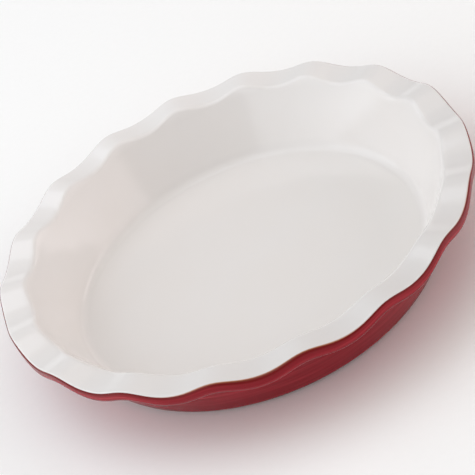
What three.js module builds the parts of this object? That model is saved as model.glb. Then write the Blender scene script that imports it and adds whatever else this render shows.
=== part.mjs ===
// Round stoneware pie dish with a rippled lip, white glaze inside and red glaze outside.
// Millimetres, +Z up. The origin is the centre of the foot ring, on the table.

import * as THREE from 'three';
import { mergeVertices } from 'three/addons/utils/BufferGeometryUtils.js';

// Lip, measured over the glaze
const rimRadius = 130;
const lipHeight = 42.3;
const lipWidth = 15.4;
const lipFall = 0.8;
const lipThickness = 5.8;
const lipEdgeWidth = 1.2;
const lipEdgeDrop = 0.7;
const lipUnderRounding = 3.2;
const lipUnderFall = 8.5;
const lipInnerRounding = 2;

// Ripple of the lip
const rippleCount = 18;
const rippleRise = 2;
const rippleSharpness = 0.08;
const rippleReach = 14;

// Wall and floor, measured over the glaze
const wallTopThickness = 6.9;
const underLipFillet = 18;
const floorRadius = 96.8;
const floorHeight = 5.8;
const floorFillet = 6;

// Foot of the wall, foot ring of bare clay, and the glazed underside that the ring lifts off the table
const wallFootThickness = 6.6;
const footEdgeRounding = 3;
const footRingInset = 5.4;
const footRingWidth = 7;
const footRingHeight = 1.2;
const footRingDraft = 0.8;

// Glaze coats, and the gap that each keeps to the clay and to the next coat
const glazeThickness = 0.5;
const bondGap = 0.3;
const glazeLineGap = 0.3;

// Facets, and the distance within which two points are one
const stepsPerRipple = 6;
const arcStep = THREE.MathUtils.degToRad(36);
const samePoint = 0.001;

const stoneware = new THREE.MeshStandardMaterial({ color: '#d8c8b0', roughness: 0.85, metalness: 0 });
const whiteGlaze = new THREE.MeshStandardMaterial({ color: '#e6e2de', roughness: 0.12, metalness: 0 });
const redGlaze = new THREE.MeshStandardMaterial({ color: '#8e1519', roughness: 0.1, metalness: 0 });

// A corner of a profile: its radius from the axis, its height and its rounding
const corner = (radius, height, rounding = 0) => ({ point: new THREE.Vector2(radius, height), rounding });

// Points of a profile whose rounded corners are arcs that touch both sides
function roundedProfile(corners) {
  const points = [];
  corners.forEach(({ point, rounding }, i) => {
    if (rounding === 0) {
      points.push(point);
      return;
    }
    const back = corners[i - 1].point.clone().sub(point).normalize();
    const ahead = corners[i + 1].point.clone().sub(point).normalize();
    const halfAngle = Math.acos(back.dot(ahead)) / 2;
    const inward = back.clone().add(ahead).normalize();
    const centre = point.clone().addScaledVector(inward, rounding / Math.sin(halfAngle));
    const touch = rounding / Math.tan(halfAngle);
    const start = point.clone().addScaledVector(back, touch).sub(centre).angle();
    const end = point.clone().addScaledVector(ahead, touch).sub(centre).angle();
    const clockwise = back.cross(ahead) > 0;
    const arc = new THREE.EllipseCurve(centre.x, centre.y, rounding, rounding, start, end, clockwise);
    const turn = Math.PI - 2 * halfAngle;
    points.push(...arc.getPoints(Math.ceil(turn / arcStep)));
  });
  return points;
}

// The same profile, set back by a distance from the side that faces out
function setBack(points, distance) {
  const outward = points.slice(1).map((point, i) => {
    const along = point.clone().sub(points[i]).normalize();
    return new THREE.Vector2(along.y, -along.x);
  });
  return points.map((point, i) => {
    const before = outward[Math.max(i - 1, 0)];
    const after = outward[Math.min(i, outward.length - 1)];
    const mitre = before.clone().add(after).normalize();
    return point.clone().addScaledVector(mitre, -distance / mitre.dot(before));
  });
}

// Heights and radii that follow from the sizes above
const lipInnerRadius = rimRadius - lipWidth;
const lipInnerHeight = lipHeight - lipFall;
const lipUnderHeight = lipHeight - lipThickness;
const innerWallSlope = (lipInnerRadius - floorRadius) / (lipInnerHeight - floorHeight);
const underLipHeight = lipUnderHeight - lipUnderFall;
const underLipRadius = floorRadius + innerWallSlope * (underLipHeight - floorHeight) + wallTopThickness;
const footEdgeRadius = floorRadius + wallFootThickness;
const footRingRadius = footEdgeRadius - footRingInset;
const footRingInnerRadius = footRingRadius - footRingWidth;
const clayDepth = bondGap + glazeThickness;

// The two coats meet half-way along the sloping edge of the lip
const edgeTop = new THREE.Vector2(rimRadius - lipEdgeWidth, lipHeight);
const edgeBottom = new THREE.Vector2(rimRadius, lipHeight - lipEdgeDrop);
const glazeLineShare = glazeLineGap / edgeTop.distanceTo(edgeBottom) / 2;
const whiteEnd = edgeBottom.clone().lerp(edgeTop, 0.5 + glazeLineShare);
const redEnd = edgeBottom.clone().lerp(edgeTop, 0.5 - glazeLineShare);

// Height of the ripple round the lip, from -1 to 1, with crests sharper than troughs
function wave(angle) {
  const turn = rippleCount * angle;
  return (Math.cos(turn) + rippleSharpness * Math.cos(2 * turn)) / (1 + rippleSharpness);
}

// Lifts and lowers the lip: the inner wall slides along its own slope, and the rim's radius stays
function rippleLip(geometry) {
  const position = geometry.getAttribute('position');
  for (let i = 0; i < position.count; i += 1) {
    const x = position.getX(i);
    const y = position.getY(i);
    const z = position.getZ(i);
    const radius = Math.hypot(x, y);
    const share = THREE.MathUtils.smoothstep(z, lipUnderHeight - rippleReach, lipUnderHeight);
    const rise = share * rippleRise * wave(Math.atan2(y, x));
    const lean = THREE.MathUtils.clamp((rimRadius - radius) / lipWidth, 0, 1) * innerWallSlope;
    const stretch = radius > 0 ? 1 + (rise * lean) / radius : 1;
    position.setXYZ(i, x * stretch, y * stretch, z + rise);
  }
}

// One closed body: the outline turned about the axis, with its seam and poles merged, then rippled
function turned(outline) {
  const lathe = new THREE.LatheGeometry(outline, rippleCount * stepsPerRipple).rotateX(Math.PI / 2);
  lathe.deleteAttribute('normal');
  lathe.deleteAttribute('uv');
  const solid = mergeVertices(lathe, samePoint);
  const index = solid.getIndex();
  const kept = [];
  for (let i = 0; i < index.count; i += 3) {
    const triangle = [index.getX(i), index.getX(i + 1), index.getX(i + 2)];
    if (new Set(triangle).size === 3) kept.push(...triangle);
  }
  solid.setIndex(kept);
  rippleLip(solid);
  solid.computeVertexNormals();
  return solid;
}

// Faces of the finished dish, each followed with the air on its right
const baseFace = roundedProfile([
  corner(0, footRingHeight),
  corner(footRingInnerRadius - glazeLineGap, footRingHeight),
]);
const outerFace = roundedProfile([
  corner(footRingRadius + glazeLineGap, footRingHeight),
  corner(footEdgeRadius, footRingHeight, footEdgeRounding),
  corner(underLipRadius, underLipHeight, underLipFillet),
  corner(rimRadius, lipUnderHeight, lipUnderRounding),
  corner(edgeBottom.x, edgeBottom.y),
  corner(redEnd.x, redEnd.y),
]);
const innerFace = roundedProfile([
  corner(whiteEnd.x, whiteEnd.y),
  corner(edgeTop.x, edgeTop.y),
  corner(lipInnerRadius, lipInnerHeight, lipInnerRounding),
  corner(floorRadius, floorHeight, floorFillet),
  corner(0, floorHeight),
]);

// The clay: recess, foot ring, outer wall, lip and inner wall in one closed outline
function stonewareBody() {
  const recessCeiling = footRingHeight + clayDepth;
  const footRing = [
    new THREE.Vector2(0, recessCeiling),
    new THREE.Vector2(footRingInnerRadius, recessCeiling),
    new THREE.Vector2(footRingInnerRadius + footRingDraft, 0),
    new THREE.Vector2(footRingRadius - footRingDraft, 0),
    new THREE.Vector2(footRingRadius, recessCeiling),
  ];
  const outline = [...footRing, ...setBack(outerFace, clayDepth).slice(1), ...setBack(innerFace, clayDepth)];
  return new THREE.Mesh(turned(outline), stoneware);
}

// The white coat: floor, inner wall and top of the lip
function innerGlaze() {
  const outline = [...setBack(innerFace, glazeThickness).reverse(), ...innerFace];
  return new THREE.Mesh(turned(outline), whiteGlaze);
}

// The red coat: edge and underside of the lip, outer wall and the underside outside the foot ring
function outerGlaze() {
  const outline = [...outerFace, ...setBack(outerFace, glazeThickness).reverse(), outerFace[0]];
  return new THREE.Mesh(turned(outline), redGlaze);
}

// The red coat inside the foot ring
function baseGlaze() {
  const outline = [...baseFace, ...setBack(baseFace, glazeThickness).reverse()];
  return new THREE.Mesh(turned(outline), redGlaze);
}

const dish = new THREE.Group();
const pieces = {
  stoneware_body: stonewareBody(),
  inner_glaze: innerGlaze(),
  outer_glaze: outerGlaze(),
  base_glaze: baseGlaze(),
};
Object.entries(pieces).forEach(([name, piece]) => {
  piece.name = name;
  dish.add(piece);
});

export default dish;
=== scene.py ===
import math
import bpy
import bmesh
from mathutils import Matrix, Vector, noise


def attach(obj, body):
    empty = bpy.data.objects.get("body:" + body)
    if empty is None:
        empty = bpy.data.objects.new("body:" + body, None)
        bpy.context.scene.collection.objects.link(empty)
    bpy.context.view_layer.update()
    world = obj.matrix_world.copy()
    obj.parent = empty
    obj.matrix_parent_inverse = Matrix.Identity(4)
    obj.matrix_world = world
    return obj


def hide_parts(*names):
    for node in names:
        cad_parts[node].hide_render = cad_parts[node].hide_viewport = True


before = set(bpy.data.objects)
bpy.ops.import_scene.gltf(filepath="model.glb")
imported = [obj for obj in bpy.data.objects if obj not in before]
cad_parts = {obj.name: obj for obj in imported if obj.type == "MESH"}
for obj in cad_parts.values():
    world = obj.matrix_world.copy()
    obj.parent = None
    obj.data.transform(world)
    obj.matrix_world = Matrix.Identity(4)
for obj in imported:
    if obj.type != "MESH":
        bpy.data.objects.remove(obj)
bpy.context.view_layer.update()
mm = 0.001
scene = bpy.context.scene
scene.view_settings.view_transform = "Standard"

# the camera stands where the photograph was taken, with the picture tipped anticlockwise
shot = {
    "imageSize": 475,  # pixels, both ways
    "focalLength": 1500,  # pixels
    "sensor": 36,
    "distance": 764.1,
    "elevation": 35.64,
    "roll": -24.41,
    "aimX": -1.28,
    "aimY": -24.32,
    "aimHeight": 42.3,
    "turn": -11.81,  # puts a crest of the ripple where the photograph has one
}


def makeCamera():
    tilt, roll = math.radians(shot["elevation"]), math.radians(shot["roll"])
    ahead = Vector((0, math.cos(tilt), -math.sin(tilt)))
    level, upright = Vector((1, 0, 0)), Vector((0, math.sin(tilt), math.cos(tilt)))
    right = math.cos(roll) * level + math.sin(roll) * upright
    up = math.cos(roll) * upright - math.sin(roll) * level
    aim = Vector((shot["aimX"], shot["aimY"], shot["aimHeight"]))
    place = Matrix((right, up, -ahead)).transposed().to_4x4()
    place.translation = (aim - shot["distance"] * ahead) * mm
    data = bpy.data.cameras.new("photoCamera")
    data.sensor_width = shot["sensor"]
    data.lens = shot["focalLength"] / shot["imageSize"] * shot["sensor"]
    camera = bpy.data.objects.new("photoCamera", data)
    camera.matrix_world = Matrix.Rotation(math.radians(shot["turn"]), 4, "Z") @ place
    scene.collection.objects.link(camera)
    scene.camera = camera


makeCamera()
print("camera placed")


def linear(hexColour):
    parts = [int(hexColour[i:i + 2], 16) / 255 for i in (1, 3, 5)]
    return [c / 12.92 if c <= 0.04045 else ((c + 0.055) / 1.055) ** 2.4 for c in parts] + [1]


def newMaterial(name):
    material = bpy.data.materials.new(name)
    material.use_nodes = True
    material.node_tree.nodes.clear()
    return material


# adds one node: settings are its own options, values go on its sockets, links come into them
def addNode(tree, kind, settings={}, values={}, links={}):
    node = tree.nodes.new(kind)
    for key, value in settings.items():
        setattr(node, key, value)
    for key, value in values.items():
        node.inputs[key].default_value = value
    for key, (source, output) in links.items():
        tree.links.new(source.outputs[output], node.inputs[key])
    return node


# white tin glaze, fired to a smooth glass: bright broad reflections and a faint cream cloudiness, with painted
# shade that makes the wall paler at its foot, greyer towards the lip and the lip darker on one side, and
# stained brown along its edge, where the red runs in
whiteFinish = {
    "cool": "#e9e6e4",
    "warm": "#e8e3df",
    "wallPaintedShade": ((94, 1), (100, 1.045), (113, 0.95)),  # radius, and how white: painted shade, paler at the wall's foot and greyer towards the lip
    # the lip's colour on its lighter side; painted shade darkens it towards the other side
    "lip": "#ece9e7",
    "lipPaintedShade": "#dddad8",  # painted shade: the lip darker towards one side
    "lipShadedSide": -67,  # degrees round the axis
    "lipShadeReach": 129.7,
    "lipFrom": 113,  # radii
    "lipTo": 118,
    "fringe": "#a9663f",
    "fringeFrom": 128.7,  # this and the next two are radii before the glaze runs
    "thin": "#741f08",
    "thinFrom": 129.3,
    "thinTo": 129.7,
    "cloudSize": 45,
    "rippleSize": 9,  # soft unevenness of the glass
    "rippleDepth": 0.02,
    "roughness": (0.09, 0.15),
    "ior": 1.5,
}


def makeWhiteGlaze():
    finish = whiteFinish
    material = newMaterial("glossyWhiteTinGlaze")
    tree = material.node_tree
    place = addNode(tree, "ShaderNodeTexCoord")
    cloud = addNode(tree, "ShaderNodeTexNoise", {}, {"Scale": 1 / (finish["cloudSize"] * mm), "Detail": 3},
                    {"Vector": (place, "Object")})
    body = addNode(tree, "ShaderNodeMix", {"data_type": "RGBA"},
                   {6: linear(finish["cool"]), 7: linear(finish["warm"])}, {"Factor": (cloud, "Fac")})
    flat = addNode(tree, "ShaderNodeMapping", {}, {"Scale": (1, 1, 0)}, {"Vector": (place, "Object")})
    radius = addNode(tree, "ShaderNodeVectorMath", {"operation": "LENGTH"}, {}, {0: (flat, "Vector")})
    # painted shade inside: the white is made paler at the wall's foot and greyer towards the lip, by radius
    floorEdge, foot, wallTop = [at for at, share in finish["wallPaintedShade"]]
    reach = addNode(tree, "ShaderNodeMapRange", {}, {"From Min": floorEdge * mm, "From Max": wallTop * mm},
                    {"Value": (radius, "Value")})
    wallShadeRamp = addNode(tree, "ShaderNodeValToRGB", {}, {}, {"Fac": (reach, "Result")})
    wallShadeRamp.color_ramp.elements.new((foot - floorEdge) / (wallTop - floorEdge))
    for element, (at, share) in zip(wallShadeRamp.color_ramp.elements, finish["wallPaintedShade"]):
        element.color = (share, share, share, 1)
    inside = addNode(tree, "ShaderNodeMix", {"data_type": "RGBA", "blend_type": "MULTIPLY"}, {"Factor": 1},
                     {6: (body, 2), 7: (wallShadeRamp, "Color")})
    onLip = addNode(tree, "ShaderNodeMapRange", {},
                    {"From Min": finish["lipFrom"] * mm, "From Max": finish["lipTo"] * mm},
                    {"Value": (radius, "Value")})
    # painted shade on the lip: darker towards one side of the dish, lighter on the other
    side = math.radians(finish["lipShadedSide"])
    across = addNode(tree, "ShaderNodeVectorMath", {"operation": "DOT_PRODUCT"},
                     {1: (math.cos(side), math.sin(side), 0)}, {0: (place, "Object")})
    lipShadeShare = addNode(tree, "ShaderNodeMapRange", {},
                      {"From Min": -finish["lipShadeReach"] * mm, "From Max": finish["lipShadeReach"] * mm},
                      {"Value": (across, "Value")})
    lip = addNode(tree, "ShaderNodeMix", {"data_type": "RGBA"},
                  {6: linear(finish["lip"]), 7: linear(finish["lipPaintedShade"])}, {"Factor": (lipShadeShare, "Result")})
    pale = addNode(tree, "ShaderNodeMix", {"data_type": "RGBA"}, {},
                   {"Factor": (onLip, "Result"), 6: (inside, 2), 7: (lip, 2)})
    line = addNode(tree, "ShaderNodeAttribute", {"attribute_name": "glazeLine"})
    stain = addNode(tree, "ShaderNodeMapRange", {},
                    {"From Min": finish["fringeFrom"] * mm, "From Max": finish["thinFrom"] * mm},
                    {"Value": (line, "Fac")})
    fringe = addNode(tree, "ShaderNodeMix", {"data_type": "RGBA"}, {7: linear(finish["fringe"])},
                     {"Factor": (stain, "Result"), 6: (pale, 2)})
    edge = addNode(tree, "ShaderNodeMapRange", {},
                   {"From Min": finish["thinFrom"] * mm, "From Max": finish["thinTo"] * mm},
                   {"Value": (line, "Fac")})
    colour = addNode(tree, "ShaderNodeMix", {"data_type": "RGBA"}, {7: linear(finish["thin"])},
                     {"Factor": (edge, "Result"), 6: (fringe, 2)})
    uneven = addNode(tree, "ShaderNodeTexNoise", {}, {"Scale": 1 / (finish["rippleSize"] * mm), "Detail": 2},
                     {"Vector": (place, "Object")})
    low, high = finish["roughness"]
    rough = addNode(tree, "ShaderNodeMapRange", {}, {"To Min": low, "To Max": high}, {"Value": (cloud, "Fac")})
    bump = addNode(tree, "ShaderNodeBump", {}, {"Strength": 1, "Distance": finish["rippleDepth"] * mm},
                   {"Height": (uneven, "Fac")})
    glass = addNode(tree, "ShaderNodeBsdfPrincipled", {}, {"IOR": finish["ior"]},
                    {"Base Color": (colour, 2), "Roughness": (rough, "Result"), "Normal": (bump, "Normal")})
    addNode(tree, "ShaderNodeOutputMaterial", {}, {}, {"Surface": (glass, "BSDF")})
    return material


# red lead-free glaze over clay, dipped: deep and glassy, with faint lighter lines round the wall that are
# painted streaks of reflection, and painted shade, a darker red along the lip's edge
redFinish = {
    "deep": "#830618",
    # lighter red of the painted reflection streaks
    "thin": "#a92531",
    # painted shade: a darker red along the lip's edge
    "edge": "#700408",
    "edgeShadeFrom": 40.2,  # heights, before the ripple
    "edgeShadeTo": 41.5,
    "lineSpacing": 2,  # spacing of the lines up the wall: painted reflection streaks, which also vary the roughness
    "lineRun": 70,  # and how long each runs round it
    "reflectionStreakShare": (0.46, 0.72),
    "reflectionStreakStrength": 0.8,
    "rippleSize": 7,
    "rippleDepth": 0.02,
    "roughness": (0.2, 0.3),
    "ior": 1.29,  # lower than glass, matched to the weak reflections
}


def makeRedGlaze():
    finish = redFinish
    material = newMaterial("glossyRedGlaze")
    tree = material.node_tree
    place = addNode(tree, "ShaderNodeTexCoord")
    run = 1 / (finish["lineRun"] * mm)
    around = addNode(tree, "ShaderNodeMapping", {}, {"Scale": (run, run, 0)}, {"Vector": (place, "Object")})
    height = addNode(tree, "ShaderNodeAttribute", {"attribute_name": "turnedHeight"})
    up = addNode(tree, "ShaderNodeCombineXYZ", {}, {}, {"Z": (height, "Fac")})
    step = 1 / (finish["lineSpacing"] * mm)
    mark = addNode(tree, "ShaderNodeVectorMath", {"operation": "MULTIPLY_ADD"}, {1: (0, 0, step)},
                   {0: (up, "Vector"), 2: (around, "Vector")})
    lines = addNode(tree, "ShaderNodeTexNoise", {}, {"Scale": 1, "Detail": 2}, {"Vector": (mark, "Vector")})
    # painted reflection: lighter red streaks round the wall
    low, high = finish["reflectionStreakShare"]
    share = addNode(tree, "ShaderNodeMapRange", {},
                    {"From Min": low, "From Max": high, "To Max": finish["reflectionStreakStrength"]},
                    {"Value": (lines, "Fac")})
    wall = addNode(tree, "ShaderNodeMix", {"data_type": "RGBA"},
                   {6: linear(finish["deep"]), 7: linear(finish["thin"])}, {"Factor": (share, "Result")})
    # painted shade: the red darkened towards the lip's edge, by height
    edge = addNode(tree, "ShaderNodeMapRange", {},
                   {"From Min": finish["edgeShadeFrom"] * mm, "From Max": finish["edgeShadeTo"] * mm},
                   {"Value": (height, "Fac")})
    colour = addNode(tree, "ShaderNodeMix", {"data_type": "RGBA"}, {7: linear(finish["edge"])},
                     {"Factor": (edge, "Result"), 6: (wall, 2)})
    uneven = addNode(tree, "ShaderNodeTexNoise", {}, {"Scale": 1 / (finish["rippleSize"] * mm), "Detail": 2},
                     {"Vector": (place, "Object")})
    low, high = finish["roughness"]
    rough = addNode(tree, "ShaderNodeMapRange", {}, {"To Min": low, "To Max": high}, {"Value": (lines, "Fac")})
    bump = addNode(tree, "ShaderNodeBump", {}, {"Strength": 1, "Distance": finish["rippleDepth"] * mm},
                   {"Height": (uneven, "Fac")})
    glass = addNode(tree, "ShaderNodeBsdfPrincipled", {}, {"IOR": finish["ior"]},
                    {"Base Color": (colour, 2), "Roughness": (rough, "Result"), "Normal": (bump, "Normal")})
    addNode(tree, "ShaderNodeOutputMaterial", {}, {}, {"Surface": (glass, "BSDF")})
    return material


# bare buff stoneware on the foot ring, sanded after firing: dry, pale, with darker grit
clayFinish = {
    "buff": "#d8c8b0",
    "grit": "#a58a69",
    "gritSize": 0.9,  # coarser than real grit, so that it shows
    "gritShare": (0.58, 0.72),
    "grainDepth": 0.06,
    "roughness": 0.85,
    "ior": 1.5,
}


def makeStoneware():
    finish = clayFinish
    material = newMaterial("bareBuffStoneware")
    tree = material.node_tree
    place = addNode(tree, "ShaderNodeTexCoord")
    grain = addNode(tree, "ShaderNodeTexNoise", {}, {"Scale": 1 / (finish["gritSize"] * mm), "Detail": 4},
                    {"Vector": (place, "Object")})
    low, high = finish["gritShare"]
    spots = addNode(tree, "ShaderNodeMapRange", {}, {"From Min": low, "From Max": high},
                    {"Value": (grain, "Fac")})
    colour = addNode(tree, "ShaderNodeMix", {"data_type": "RGBA"},
                     {6: linear(finish["buff"]), 7: linear(finish["grit"])}, {"Factor": (spots, "Result")})
    bump = addNode(tree, "ShaderNodeBump", {}, {"Strength": 1, "Distance": finish["grainDepth"] * mm},
                   {"Height": (grain, "Fac")})
    clay = addNode(tree, "ShaderNodeBsdfPrincipled", {},
                   {"IOR": finish["ior"], "Roughness": finish["roughness"]},
                   {"Base Color": (colour, 2), "Normal": (bump, "Normal")})
    addNode(tree, "ShaderNodeOutputMaterial", {}, {}, {"Surface": (clay, "BSDF")})
    return material


# the ripple of the lip, the same on every piece: it lifts the lip and dies out down the wall
ripple = {
    "count": 18,
    "rise": 2,
    "sharpness": 0.08,
    "from": 22.5,  # heights on the wall where it starts and where it is full
    "to": 36.5,
    "rimRadius": 130,
    "lipWidth": 15.4,
    "wallSlope": 0.4986,  # the inner wall slides along its own slope
}

# hand finish: slow unevenness of the wet clay under the glaze, all but the poles, which stay on the axis
handFinish = {"size": 38, "depth": 0.09, "poleRadius": 1}

# the red runs in over the lip's edge in waves on the side that hung low after the dip, and stays
# back from it elsewhere; the two sides are in degrees round the axis
glazeRun = {"most": 0.8, "stayBack": 0.6, "lowSide": -102, "waves": 5, "furthest": -109}


def rippleLip(bm):
    heightLayer = bm.verts.layers.float.new("turnedHeight")
    lineLayer = bm.verts.layers.float.new("glazeLine")
    lowSide, furthest = math.radians(glazeRun["lowSide"]), math.radians(glazeRun["furthest"])
    for v in bm.verts:
        v[heightLayer] = v.co.z
        radius = v.co.xy.length / mm
        share = (v.co.z / mm - ripple["from"]) / (ripple["to"] - ripple["from"])
        share = min(max(share, 0), 1)
        share = share * share * (3 - 2 * share)
        around = math.atan2(v.co.y, v.co.x)
        low = max(math.cos(around - lowSide), 0) ** 2
        run = low * glazeRun["most"] * math.cos(glazeRun["waves"] * (around - furthest))
        run -= (1 - low) * glazeRun["stayBack"]
        v[lineLayer] = (radius + run) * mm
        turn = ripple["count"] * around
        wave = (math.cos(turn) + ripple["sharpness"] * math.cos(2 * turn)) / (1 + ripple["sharpness"])
        rise = share * ripple["rise"] * wave
        lean = min(max((ripple["rimRadius"] - radius) / ripple["lipWidth"], 0), 1) * ripple["wallSlope"]
        wobble = handFinish["depth"] * noise.noise(v.co / (handFinish["size"] * mm))
        if radius > handFinish["poleRadius"]:
            v.co.xy *= 1 + (rise * lean + wobble) / radius
        v.co.z += rise * mm


# turns a profile of (radius, height, rounding) corners about the dish's axis
turning = {"stepsPerRipple": 16, "stretch": 2.2, "arcSegments": 6, "mergeWithin": 0.002}


def turnProfile(corners):
    bm = bmesh.new()
    verts = [bm.verts.new((r * mm, 0, z * mm)) for r, z, rounding in corners]
    for pair in zip(verts, verts[1:]):
        bm.edges.new(pair)
    for i, (r, z, rounding) in enumerate(corners):
        if rounding:
            here = Vector((r, z))
            back = (Vector(corners[i - 1][:2]) - here).normalized()
            ahead = (Vector(corners[i + 1][:2]) - here).normalized()
            touch = rounding / math.tan(back.angle(ahead) / 2)
            bmesh.ops.bevel(bm, geom=[verts[i]], offset=touch * mm, offset_type="OFFSET", affect="VERTICES",
                            segments=turning["arcSegments"], profile=0.5, material=-1)
    for edge in list(bm.edges):
        cuts = math.ceil(edge.calc_length() / (turning["stretch"] * mm)) - 1
        if cuts > 0:
            bmesh.ops.subdivide_edges(bm, edges=[edge], cuts=cuts)
    bmesh.ops.spin(bm, geom=bm.verts[:] + bm.edges[:], axis=(0, 0, 1), cent=(0, 0, 0), angle=math.tau,
                   steps=ripple["count"] * turning["stepsPerRipple"], use_merge=True)
    bmesh.ops.remove_doubles(bm, verts=bm.verts[:], dist=turning["mergeWithin"] * mm)
    rippleLip(bm)
    bmesh.ops.recalc_face_normals(bm, faces=bm.faces[:])
    return bm


# the face that lies furthest outward has to look that way too
def finishPiece(name, bm, material, node, outward):
    furthest = max(bm.faces, key=lambda face: face.calc_center_median().dot(outward))
    if furthest.normal.dot(outward) < 0:
        bmesh.ops.reverse_faces(bm, faces=bm.faces[:])
    for face in bm.faces:
        face.smooth = True
    mesh = bpy.data.meshes.new(name)
    bm.to_mesh(mesh)
    bm.free()
    mesh.materials.append(material)
    piece = bpy.data.objects.new(name, mesh)
    scene.collection.objects.link(piece)
    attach(piece, "root")
    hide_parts(node)
    print(name, "made,", len(mesh.polygons), "faces")
    return piece


def thicken(piece, thickness):
    coat = piece.modifiers.new("coatThickness", "SOLIDIFY")
    coat.thickness = thickness * mm
    coat.offset = -1
    coat.use_even_offset = True


whiteGlaze, redGlaze, stoneware = makeWhiteGlaze(), makeRedGlaze(), makeStoneware()
print("materials made")

# faces of the dish over its glaze: radius, height and rounding of each corner
dish = {
    "coat": 0.5,
    "bond": 0.03,  # the coats lie on the clay
    "inner": [(129.44, 41.93, 0), (128.8, 42.3, 0.9), (114.6, 41.5, 3), (96.8, 5.8, 6), (0, 5.8, 0)],
    "outer": [(98.3, 1.2, 0), (103.4, 1.2, 3), (114.7, 28, 18), (130, 36.5, 3.2), (130, 41.6, 0.9),
              (129.46, 41.92, 0)],
    "base": [(0, 1.2, 0), (90.7, 1.2, 0)],
    "footRing": [(0, 1.75, 0), (91, 1.75, 0), (91.8, 0, 0.4), (97.2, 0, 0.4), (98, 1.75, 0)],
}


# the same corners, set back behind the coat
def behindCoat(corners):
    depth = dish["coat"] + dish["bond"]
    points = [Vector(c[:2]) for c in corners]
    sides = [(b - a).normalized() for a, b in zip(points, points[1:])]
    outward = [Vector((s.y, -s.x)) for s in sides]
    moved = []
    for i, (point, corner) in enumerate(zip(points, corners)):
        before, after = outward[max(i - 1, 0)], outward[min(i, len(outward) - 1)]
        mitre = (before + after).normalized()
        point = point - mitre * depth / mitre.dot(before)
        moved.append((point.x, point.y, corner[2]))
    return moved


up, down = Vector((0, 0, 1)), Vector((0, 0, -1))
white = finishPiece("whiteGlazeCoat", turnProfile(dish["inner"]), whiteGlaze, "inner_glaze", up)
red = finishPiece("redGlazeCoat", turnProfile(dish["outer"]), redGlaze, "outer_glaze", down)
base = finishPiece("redBaseCoat", turnProfile(dish["base"]), redGlaze, "base_glaze", down)
for coat in (white, red, base):
    thicken(coat, dish["coat"])
clayCorners = dish["footRing"] + behindCoat(dish["outer"])[1:] + behindCoat(dish["inner"])
finishPiece("clayForm", turnProfile(clayCorners), stoneware, "stoneware_body", down)

# pale studio floor, matt paper with a faint tooth
studio = {
    "floorRadius": 1.85,  # metres, as the distance and the sizes of the softboxes
    "floorSides": 96,
    "floorDrop": 0.1,  # millimetres, as the paper's tooth
    "paper": "#fcfcfb",
    "paperShade": "#f9f9f8",
    "paperRoughness": 0.9,
    "paperIor": 1.45,
    "toothSize": 4,
    "skyHorizon": "#ffffff",
    "skyHorizonEnd": 0.1,  # share of the way up to overhead
    "skyAbove": "#aaaaaa",
    "skyAboveStart": 0.26,
    "boxDistance": 1.8,
    "boxes": {  # azimuth from the camera to the right, elevation, width, height, glow and tint
        "leftSoftbox": (-84, 28, 3.6, 1.5, 1.24, "#f5faff"),
        "rightSoftbox": (84, 22, 2.9, 1.1, 1.38, "#fff1ef"),
        "backSoftbox": (-125, 62, 1.6, 1.4, 0.95, "#e6efff"),
        "topSoftbox": (180, 86, 2.4, 2.4, 0.5, "#fff8ea"),
    },
}


def makeFloor():
    material = newMaterial("mattWhitePaper")
    tree = material.node_tree
    place = addNode(tree, "ShaderNodeTexCoord")
    tooth = addNode(tree, "ShaderNodeTexNoise", {}, {"Scale": 1 / (studio["toothSize"] * mm), "Detail": 3},
                    {"Vector": (place, "Object")})
    colour = addNode(tree, "ShaderNodeMix", {"data_type": "RGBA"},
                     {6: linear(studio["paper"]), 7: linear(studio["paperShade"])}, {"Factor": (tooth, "Fac")})
    paper = addNode(tree, "ShaderNodeBsdfPrincipled", {},
                    {"Roughness": studio["paperRoughness"], "IOR": studio["paperIor"]},
                    {"Base Color": (colour, 2)})
    addNode(tree, "ShaderNodeOutputMaterial", {}, {}, {"Surface": (paper, "BSDF")})
    bm = bmesh.new()
    bmesh.ops.create_circle(bm, cap_ends=True, segments=studio["floorSides"], radius=studio["floorRadius"])
    bmesh.ops.translate(bm, verts=bm.verts[:], vec=(0, 0, -studio["floorDrop"] * mm))
    mesh = bpy.data.meshes.new("studioFloor")
    bm.to_mesh(mesh)
    bm.free()
    mesh.materials.append(material)
    floor = bpy.data.objects.new("studioFloor", mesh)
    scene.collection.objects.link(floor)


def makeSky():
    world = bpy.data.worlds.new("studioSurround")
    world.use_nodes = True
    scene.world = world
    tree = world.node_tree
    tree.nodes.clear()
    place = addNode(tree, "ShaderNodeTexCoord")
    parts = addNode(tree, "ShaderNodeSeparateXYZ", {}, {}, {"Vector": (place, "Generated")})
    ramp = addNode(tree, "ShaderNodeValToRGB", {}, {}, {"Fac": (parts, "Z")})
    for element, part in zip(ramp.color_ramp.elements, ("skyHorizon", "skyAbove")):
        element.color = linear(studio[part])
    ramp.color_ramp.elements[0].position = studio["skyHorizonEnd"]
    ramp.color_ramp.elements[1].position = studio["skyAboveStart"]
    light = addNode(tree, "ShaderNodeBackground", {}, {"Strength": 1}, {"Color": (ramp, "Color")})
    addNode(tree, "ShaderNodeOutputWorld", {}, {}, {"Surface": (light, "Background")})


def makeSoftbox(name, azimuth, elevation, width, height, glow, tint):
    data = bpy.data.lights.new(name, "AREA")
    data.shape, data.size, data.size_y = "RECTANGLE", width, height
    data.energy = glow * math.pi * width * height
    data.color = linear(tint)[:3]
    box = bpy.data.objects.new(name, data)
    side, lift = math.radians(azimuth + shot["turn"]), math.radians(elevation)
    out = Vector((math.sin(side) * math.cos(lift), -math.cos(side) * math.cos(lift), math.sin(lift)))
    box.rotation_euler = out.to_track_quat("Z", "Y").to_euler()
    box.location = out * studio["boxDistance"]
    box.visible_camera = False
    scene.collection.objects.link(box)


makeFloor()
makeSky()
for name, values in studio["boxes"].items():
    makeSoftbox(name, *values)
print("studio lit")
